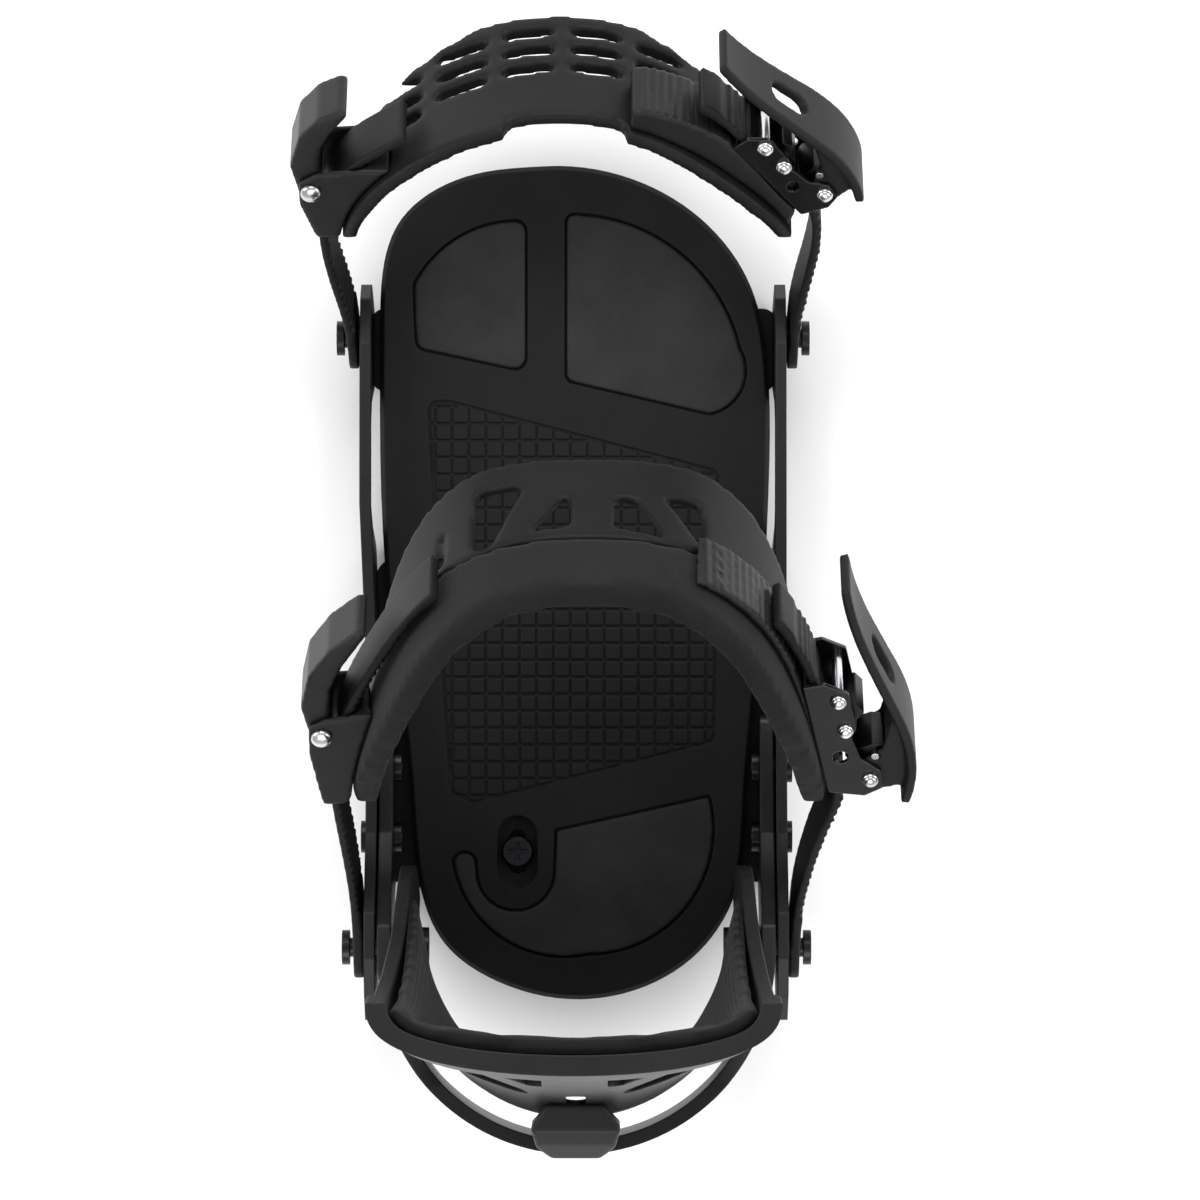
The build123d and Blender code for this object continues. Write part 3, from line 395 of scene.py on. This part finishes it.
def soften(piece, rounds):
    """Smooths the surface, then marks it for smooth shading."""
    bm = bmesh.new()
    bm.from_mesh(piece.data)
    for _ in range(rounds):
        bmesh.ops.smooth_vert(
            bm, verts=bm.verts, factor=SMOOTH_FACTOR,
            use_axis_x=True, use_axis_y=True, use_axis_z=True)
    for face in bm.faces:
        face.smooth = True
    bm.to_mesh(piece.data)
    bm.free()


# %% Make a moulded piece
def dress(piece, material, node_name):
    """Gives the piece its finish and puts it in the engineering part's place."""
    piece.data.materials.clear()
    piece.data.materials.append(material)
    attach(piece, body_holding(node_name))
    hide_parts(node_name)
    print(piece.name, len(piece.data.polygons), "faces")
    return piece


def moulding(node_name, piece_name, material, voxel, rounds):
    """The node's part as a moulding with rounded edges."""
    piece = merged_copy(node_name, piece_name)
    even_faces(piece, voxel)
    soften(piece, rounds)
    return dress(piece, material, node_name)


# %% [markdown]
# ### Urethane strap shells
# The ankle strap's front half and the toe cap are injection-moulded urethane, thin and springy,
# with windows. They are remeshed at about a millimetre, finer than their narrowest rib.

# %% Ankle shell and toe cap
SHELL_VOXEL = 0.0011
moulding("ankle_strap_shell", "ankle_shell", urethane, SHELL_VOXEL, rounds=4)
moulding("toe_strap_cap", "toe_cap", urethane, SHELL_VOXEL, rounds=4)

# %% [markdown]
# ### Levers, guides, ladders and the lean block
# The wing levers, the guides under the ratchets, the toothed ladders and the highback's lean
# block are moulded too, and their engineering solids have knife edges. The same remesh rounds
# them, with a voxel small enough to keep the ladder's teeth and the guide's ribs.

# %% Levers, guides, ladders and the lean block
SMALL_VOXEL = 0.0007
FINE_VOXEL = 0.0006
SMALL_MOULDINGS = (
    ("{}_adjuster_lever", "{}_wing_lever", lever_plastic, "lever_matte", SMALL_VOXEL, 5),
    ("{}_adjuster_base", "{}_wing_base", guide_plastic, "guide_plastic", SMALL_VOXEL, 4),
    ("{}_buckle_mount", "{}_ribbed_guide", guide_plastic, "guide_plastic", SMALL_VOXEL, 3),
    ("{}_length_ladder", "{}_long_ladder", urethane, "ladder_plastic", FINE_VOXEL, 2),
    ("{}_ladder", "{}_ratchet_ladder", urethane, "ladder_plastic", FINE_VOXEL, 2),
)
for strap in ("ankle", "toe"):
    for part, piece_name, material, slot, voxel, rounds in SMALL_MOULDINGS:
        moulding(part.format(strap), piece_name.format(strap), material, voxel, rounds)
moulding("lean_adjuster_block", "lean_block", nylon, SMALL_VOXEL, rounds=4)

# %% [markdown]
# ### Ratchet levers
# The big lever of each ratchet is a bent plate with a raised rim and a finger hole, satin black
# over metal. The remesh rounds the edge of its plate, and a satin finish keeps it darker than
# the polished plates beside it.

# %% Ratchet levers
for strap in ("ankle", "toe"):
    moulding(
        strap + "_buckle_lever", strap + "_crank_lever", lever_black,
        FINE_VOXEL, rounds=5)

# %% [markdown]
# ### Rivet heads
# Steel rivets hold the ratchet's plates and the wing levers. Each ends in a small bright dome,
# which catches the light. The engineering pins end flat, so a dome is set on each one: a sphere
# flattened along the pin, at the middle of the pin's upper end.


# %% Find the pins' ends
END_DEPTH = 0.0001


def strap_normal(strap):
    """Direction of the pins of a strap, from the axis of its pawl's joint."""
    joint = next(j for j in frame["joints"] if j["name"] == strap + "_lock_release")
    return Vector(joint["axis"]).normalized()


def pin_ends(node_name, direction):
    """Middle and radius of the upper end of each separate pin in a node."""
    bm = bmesh.new()
    bm.from_mesh(frame["nodes"][node_name].data)
    bmesh.ops.remove_doubles(bm, verts=bm.verts, dist=MERGE_DISTANCE)
    seen = set()
    ends = []
    for first in bm.verts:
        if first in seen:
            continue
        seen.add(first)
        island = [first]
        for vert in island:
            for edge in vert.link_edges:
                other = edge.other_vert(vert)
                if other not in seen:
                    seen.add(other)
                    island.append(other)
        top = max(v.co.dot(direction) for v in island)
        rim = [v.co.copy() for v in island if v.co.dot(direction) > top - END_DEPTH]
        middle = sum(rim, Vector()) / len(rim)
        ends.append((middle, max((p - middle).length for p in rim)))
    bm.free()
    return sorted(ends, key=lambda end: tuple(end[0]))


# %% Rivet domes
DOME_HEIGHT = 0.0011
DOME_SEGMENTS = 28
DOME_RINGS = 14


def rivet_domes(strap, node_name, piece_name):
    """A flattened sphere on the upper end of each pin in a node."""
    direction = strap_normal(strap)
    turn = direction.to_track_quat("Z", "Y").to_matrix().to_4x4()
    bm = bmesh.new()
    for middle, radius in pin_ends(node_name, direction):
        made = bmesh.ops.create_uvsphere(
            bm, u_segments=DOME_SEGMENTS, v_segments=DOME_RINGS, radius=radius)
        bmesh.ops.scale(bm, verts=made["verts"], vec=(1, 1, DOME_HEIGHT / radius))
        bmesh.ops.transform(bm, verts=made["verts"], matrix=turn)
        bmesh.ops.translate(bm, verts=made["verts"], vec=middle)
    for face in bm.faces:
        face.smooth = True
    mesh = bpy.data.meshes.new(piece_name)
    bm.to_mesh(mesh)
    bm.free()
    mesh.materials.append(rivet_steel)
    domes = bpy.data.objects.new(piece_name, mesh)
    bpy.context.scene.collection.objects.link(domes)
    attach(domes, body_holding(node_name))
    print(piece_name, len(mesh.polygons), "faces")


for strap in ("ankle", "toe"):
    rivet_domes(strap, strap + "_buckle_rivets", strap + "_rivet_domes")
    rivet_domes(strap, strap + "_adjuster_pin", strap + "_adjuster_dome")

# %% [markdown]
# ### Footbed cushions
# Three foam cushions sit in pockets of the footbed. Each is a flat moulding with a slightly
# rounded rim, so a fine remesh is enough and no swelling is wanted.

# %% Footbed cushions
for cushion_node, cushion_name in (
    ("toe_pad_inner", "cushion_toe_inner"),
    ("toe_pad_outer", "cushion_toe_outer"),
    ("heel_pad", "cushion_heel"),
):
    cushion = moulding(cushion_node, cushion_name, pad_foam, FINE_VOXEL, rounds=5)

# %% [markdown]
# ### Strap padding
# The rear half of the ankle strap is a foam pad in cloth. Foam under cloth swells between its
# edges, so a slightly thinner copy is blown up by the cloth solver with a little pressure and no
# gravity. How far each point travels is capped, so that the pad stays clear of the buckles.

# %% Cloth swelling
SWELL_CAP = 0.0016
SWELL_FRAMES = 12
SWELL_PRESSURE = 4.0
SOLVER_STEPS = 4


def swell(piece):
    """Blows a closed mesh up with the cloth solver and caps how far each point moves."""
    start = [v.co.copy() for v in piece.data.vertices]
    cloth = piece.modifiers.new("swell", "CLOTH")
    cloth.settings.quality = SOLVER_STEPS
    cloth.settings.use_pressure = True
    cloth.settings.uniform_pressure_force = SWELL_PRESSURE
    cloth.settings.effector_weights.gravity = 0.0
    cloth.collision_settings.use_collision = False
    cloth.point_cache.frame_start = 1
    cloth.point_cache.frame_end = SWELL_FRAMES
    scene = bpy.context.scene
    for step in range(1, SWELL_FRAMES + 1):
        scene.frame_set(step)
    apply_modifiers(piece)
    scene.frame_set(1)
    for vertex, place in zip(piece.data.vertices, start):
        travel = vertex.co - place
        if travel.length > SWELL_CAP:
            vertex.co = place + travel.normalized() * SWELL_CAP


# %% Thinner copy and finer surface
def pull_in(piece, distance):
    """Moves every point inwards along its normal."""
    for vertex in piece.data.vertices:
        vertex.co -= vertex.normal * distance


def subdivide(piece):
    """Divides every face once and rounds the surface."""
    smooth = piece.modifiers.new("smooth", "SUBSURF")
    smooth.levels = 1
    smooth.render_levels = 1
    apply_modifiers(piece)


# %% Ankle padding
PADDING_VOXEL = 0.0022
PADDING_ROUNDS = 2
COVER_GAP = 0.0005


def padded_piece(node_name, piece_name, material):
    """The node's part as foam in cloth, swollen."""
    piece = merged_copy(node_name, piece_name)
    even_faces(piece, PADDING_VOXEL)
    soften(piece, PADDING_ROUNDS)
    pull_in(piece, COVER_GAP)
    swell(piece)
    subdivide(piece)
    soften(piece, PADDING_ROUNDS)
    dress(piece, material, node_name)


padded_piece("ankle_strap_pad", "ankle_padding", padding)

# %% [markdown]
# ### Highback lining
# The highback's front is lined with the same foam in cloth, from rim to rim. It is one closed
# pad on the shell's inner side, so it swells in the same way as the strap's padding.

# %% Highback lining
padded_piece("highback_pad", "highback_lining", lining)
